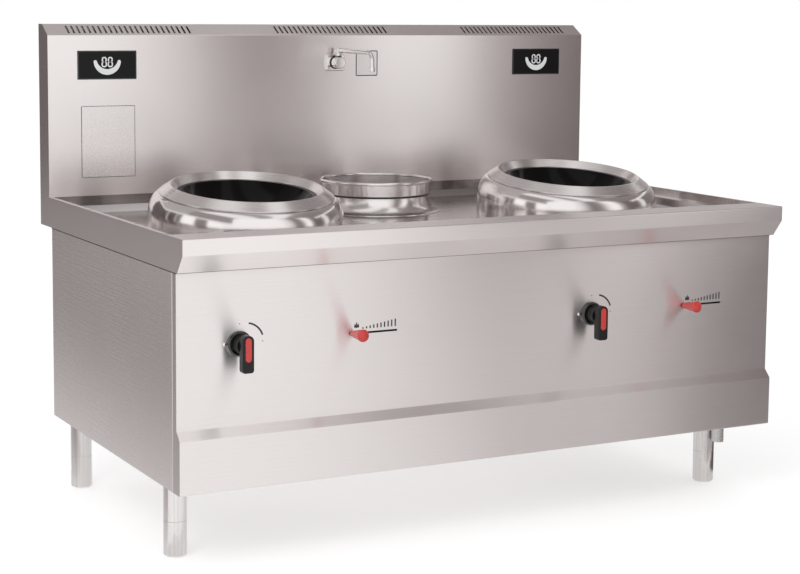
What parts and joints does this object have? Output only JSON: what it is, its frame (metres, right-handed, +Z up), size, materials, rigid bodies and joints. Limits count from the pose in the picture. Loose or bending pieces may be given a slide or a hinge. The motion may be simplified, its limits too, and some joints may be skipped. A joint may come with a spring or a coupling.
{
  "type": "induction wok range",
  "caption": "Free-standing stainless double-well wok range with tilted black glass bowls, lift-out soup pot, swing tap, splashback, rotary isolators and sliding power levers.",
  "frame": {"origin": "on the floor under the middle of the whole outline", "axes": "+X to the cook's right, +Y from the cook towards the splashback, +Z up"},
  "size_m": [1.8, 1.1279, 1.325],
  "materials": {
    "frame_tube": "mill",
    "brushed_panel": "brushed",
    "brushed_top": "brushed",
    "leg_steel": "satin",
    "polished_steel": "polished",
    "satin_ring": "satin",
    "black_glass": "gloss",
    "display_glass": "gloss",
    "seal_rubber": "matte",
    "coil_copper": "satin",
    "carrier_plastic": "matte",
    "board_green": "satin",
    "plate_metal": "satin",
    "plate_film": "satin",
    "tap_chrome": "polished",
    "pipe_steel": "satin",
    "black_plastic": "satin",
    "red_plastic": "gloss",
    "stem_steel": "satin",
    "module_aluminium": "matte",
    "box_paint": "satin"
  },
  "bodies": {
    "root": {"frame_posts": "frame_tube", "frame_cross_rails": "frame_tube", "frame_side_rails": "frame_tube", "front_panel": "brushed_panel", "side_panel_left": "brushed_panel", "side_panel_right": "brushed_panel", "back_panel": "brushed_panel", "floor_panel": "brushed_panel", "splashback": "brushed_panel", "splashback_cover": "brushed_panel", "rear_channel": "brushed_panel", "front_rim": "brushed_top", "side_rim_left": "brushed_top", "side_rim_right": "brushed_top", "worktop_tray": "brushed_top", "legs": "leg_steel", "well_base_left": "polished_steel", "well_base_right": "polished_steel", "pot_collar": "polished_steel", "drain_cover": "polished_steel", "seat_ring_left": "satin_ring", "seat_ring_right": "satin_ring", "glass_bowl_left": "black_glass", "glass_bowl_right": "black_glass", "display_window_left": "display_glass", "display_window_right": "display_glass", "bowl_seals": "seal_rubber", "coils": "coil_copper", "coil_carriers": "carrier_plastic", "fan_frames": "carrier_plastic", "lever_tracks": "carrier_plastic", "display_boards": "board_green", "label_plate": "plate_metal", "sticker_plate": "plate_film", "tap_body": "tap_chrome", "isolator_screws": "tap_chrome", "supply_pipe": "pipe_steel", "drain_pipe": "pipe_steel", "isolator_switches": "black_plastic", "cable_gland": "black_plastic", "power_modules": "module_aluminium", "terminal_box": "box_paint"},
    "foot_front_left_unit": {"foot_front_left": "leg_steel"},
    "foot_front_right_unit": {"foot_front_right": "leg_steel"},
    "foot_rear_left_unit": {"foot_rear_left": "leg_steel"},
    "foot_rear_right_unit": {"foot_rear_right": "leg_steel"},
    "pot_unit": {"soup_pot": "polished_steel"},
    "spout_unit": {"spout": "tap_chrome", "spout_nozzle": "tap_chrome"},
    "isolator_left_unit": {"isolator_handle_left": "black_plastic", "handle_insert_left": "red_plastic"},
    "isolator_right_unit": {"isolator_handle_right": "black_plastic", "handle_insert_right": "red_plastic"},
    "lever_left_unit": {"lever_carriage_left": "stem_steel", "lever_knob_left": "red_plastic"},
    "lever_right_unit": {"lever_carriage_right": "stem_steel", "lever_knob_right": "red_plastic"},
    "fan_left_unit": {"fan_rotor_left": "carrier_plastic"},
    "fan_right_unit": {"fan_rotor_right": "carrier_plastic"}
  },
  "joints": [
    {"name": "foot_front_left_height", "type": "slide", "parent": "root", "child": "foot_front_left_unit", "axis": [0, 0, -1], "range_m": [0, 0.035]},
    {"name": "foot_front_right_height", "type": "slide", "parent": "root", "child": "foot_front_right_unit", "axis": [0, 0, -1], "range_m": [0, 0.035]},
    {"name": "foot_rear_left_height", "type": "slide", "parent": "root", "child": "foot_rear_left_unit", "axis": [0, 0, -1], "range_m": [0, 0.035]},
    {"name": "foot_rear_right_height", "type": "slide", "parent": "root", "child": "foot_rear_right_unit", "axis": [0, 0, -1], "range_m": [0, 0.035]},
    {"name": "pot_lift", "type": "slide", "parent": "root", "child": "pot_unit", "axis": [0, 0, 1], "range_m": [0, 0.25]},
    {"name": "spout_swing", "type": "hinge", "parent": "root", "child": "spout_unit", "pos_m": [0, 0.454, 1.24], "axis": [0, 0, 1], "range_deg": [-90, 90]},
    {"name": "isolator_left_turn", "type": "hinge", "parent": "root", "child": "isolator_left_unit", "pos_m": [-0.736, -0.5405, 0.567], "axis": [0, 1, 0], "range_deg": [0, 90]},
    {"name": "isolator_right_turn", "type": "hinge", "parent": "root", "child": "isolator_right_unit", "pos_m": [0.292, -0.5405, 0.567], "axis": [0, 1, 0], "range_deg": [0, 90]},
    {"name": "lever_left_slide", "type": "slide", "parent": "root", "child": "lever_left_unit", "axis": [1, 0, 0], "range_m": [0, 0.12]},
    {"name": "lever_right_slide", "type": "slide", "parent": "root", "child": "lever_right_unit", "axis": [1, 0, 0], "range_m": [0, 0.12]},
    {"name": "fan_left_spin", "type": "hinge", "parent": "root", "child": "fan_left_unit", "pos_m": [-0.514, 0.4445, 0.345], "axis": [0, 1, 0], "continuous": true},
    {"name": "fan_right_spin", "type": "hinge", "parent": "root", "child": "fan_right_unit", "pos_m": [0.514, 0.4445, 0.345], "axis": [0, 1, 0], "continuous": true}
  ]
}
